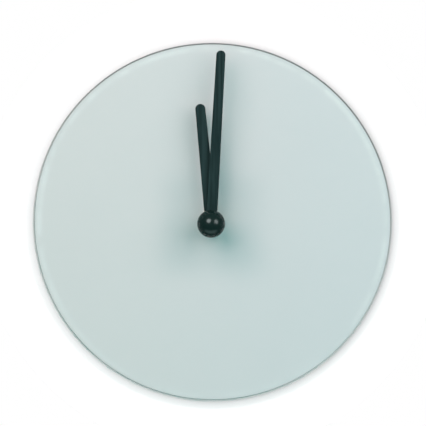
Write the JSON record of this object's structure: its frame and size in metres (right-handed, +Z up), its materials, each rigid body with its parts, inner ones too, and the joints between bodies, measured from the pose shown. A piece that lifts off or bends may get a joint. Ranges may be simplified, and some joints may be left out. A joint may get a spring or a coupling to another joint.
{
  "type": "glass wall clock",
  "caption": "Round frameless glass wall clock with a bare white dial, rounded black hands under a glossy ball, and a battery quartz movement behind.",
  "frame": {"origin": "on the hands' axis at the wall, on the flat back of the movement's rear cover", "axes": "+Y into the wall, the dial faces -Y, +Z up, +X to the right as the dial is read"},
  "size_m": [0.2, 0.0402, 0.2],
  "materials": {
    "glass_clear": "polished float glass, faintly green",
    "coat_white": "even white coat seen through the glass",
    "hand_black": "satin black",
    "ball_black": "high gloss black",
    "rubber_black": "matt",
    "brass_turned": "turned, satin",
    "steel_sheet": "bright sheet",
    "magnet_dark": "ground",
    "case_black": "moulded, fine grain",
    "gear_white": "moulded, satin",
    "bobbin_green": "moulded",
    "copper_wire": "enamelled copper",
    "board_brown": "laminate",
    "epoxy_black": "cast resin",
    "nickel_strip": "nickel plated",
    "battery_shell": "lacquered sleeve with bare ends"
  },
  "bodies": {
    "clock_body": {"glass_disc": "glass_clear", "white_back_coat": "coat_white", "rubber_gasket": "rubber_black", "clamp_washer": "brass_turned", "hex_nut": "brass_turned", "threaded_bush": "brass_turned", "movement_case": "case_black", "rear_cover": "case_black", "gear_bridge": "case_black", "stator_plate": "steel_sheet", "coil_core": "steel_sheet", "coil_bobbin": "bobbin_green", "coil_winding": "copper_wire", "circuit_board": "board_brown", "timer_chip": "epoxy_black", "quartz_crystal": "nickel_strip", "positive_contact": "nickel_strip", "negative_contact": "nickel_strip"},
    "minute_works": {"minute_pipe": "brass_turned", "clutch_spring": "nickel_strip", "minute_hand": "hand_black", "ball_cap": "ball_black"},
    "hour_works": {"hour_wheel": "gear_white", "hour_hand": "hand_black"},
    "setting_works": {"minute_wheel": "gear_white", "setting_knob": "case_black"},
    "rotor": {"rotor_magnet": "magnet_dark", "rotor_pinion": "gear_white"},
    "intermediate_works": {"intermediate_wheel": "gear_white"},
    "seconds_works": {"seconds_wheel": "gear_white"},
    "third_works": {"third_wheel": "gear_white"},
    "centre_works": {"centre_wheel": "gear_white"},
    "battery": {"battery_cell": "battery_shell"}
  },
  "joints": [
    {"name": "minute_hand_turn", "type": "hinge", "parent": "clock_body", "child": "minute_works", "pos_m": [0, 0, 0], "axis": [0, 1, 0], "continuous": true},
    {"name": "hour_hand_turn", "type": "hinge", "parent": "clock_body", "child": "hour_works", "pos_m": [0, 0, 0], "axis": [0, 1, 0], "continuous": true},
    {"name": "minute_wheel_turn", "type": "hinge", "parent": "clock_body", "child": "setting_works", "pos_m": [0, 0, 0.01069], "axis": [0, 1, 0], "continuous": true},
    {"name": "intermediate_wheel_turn", "type": "hinge", "parent": "clock_body", "child": "intermediate_works", "pos_m": [0.00976, 0, 0.00355], "axis": [0, 1, 0], "continuous": true},
    {"name": "rotor_turn", "type": "hinge", "parent": "clock_body", "child": "rotor", "pos_m": [0.01336, 0, 0.00979], "axis": [0, 1, 0], "continuous": true},
    {"name": "seconds_wheel_turn", "type": "hinge", "parent": "clock_body", "child": "seconds_works", "pos_m": [0, 0, 0], "axis": [0, 1, 0], "continuous": true},
    {"name": "third_wheel_turn", "type": "hinge", "parent": "clock_body", "child": "third_works", "pos_m": [-0.00958, 0, 0.00349], "axis": [0, 1, 0], "continuous": true},
    {"name": "centre_wheel_turn", "type": "hinge", "parent": "clock_body", "child": "centre_works", "pos_m": [0, 0, 0], "axis": [0, 1, 0], "continuous": true},
    {"name": "battery_slide", "type": "slide", "parent": "clock_body", "child": "battery", "axis": [0, 1, 0], "range_m": [0, 0.018]}
  ],
  "couplings": [
    {"joint": "hour_hand_turn", "follows": "minute_hand_turn", "ratio": 0.083333},
    {"joint": "minute_wheel_turn", "follows": "minute_hand_turn", "ratio": -0.33333},
    {"joint": "rotor_turn", "follows": "intermediate_wheel_turn", "ratio": -5},
    {"joint": "seconds_wheel_turn", "follows": "intermediate_wheel_turn", "ratio": -0.16667},
    {"joint": "third_wheel_turn", "follows": "intermediate_wheel_turn", "ratio": 0.020833},
    {"joint": "centre_wheel_turn", "follows": "intermediate_wheel_turn", "ratio": -0.0027778}
  ]
}
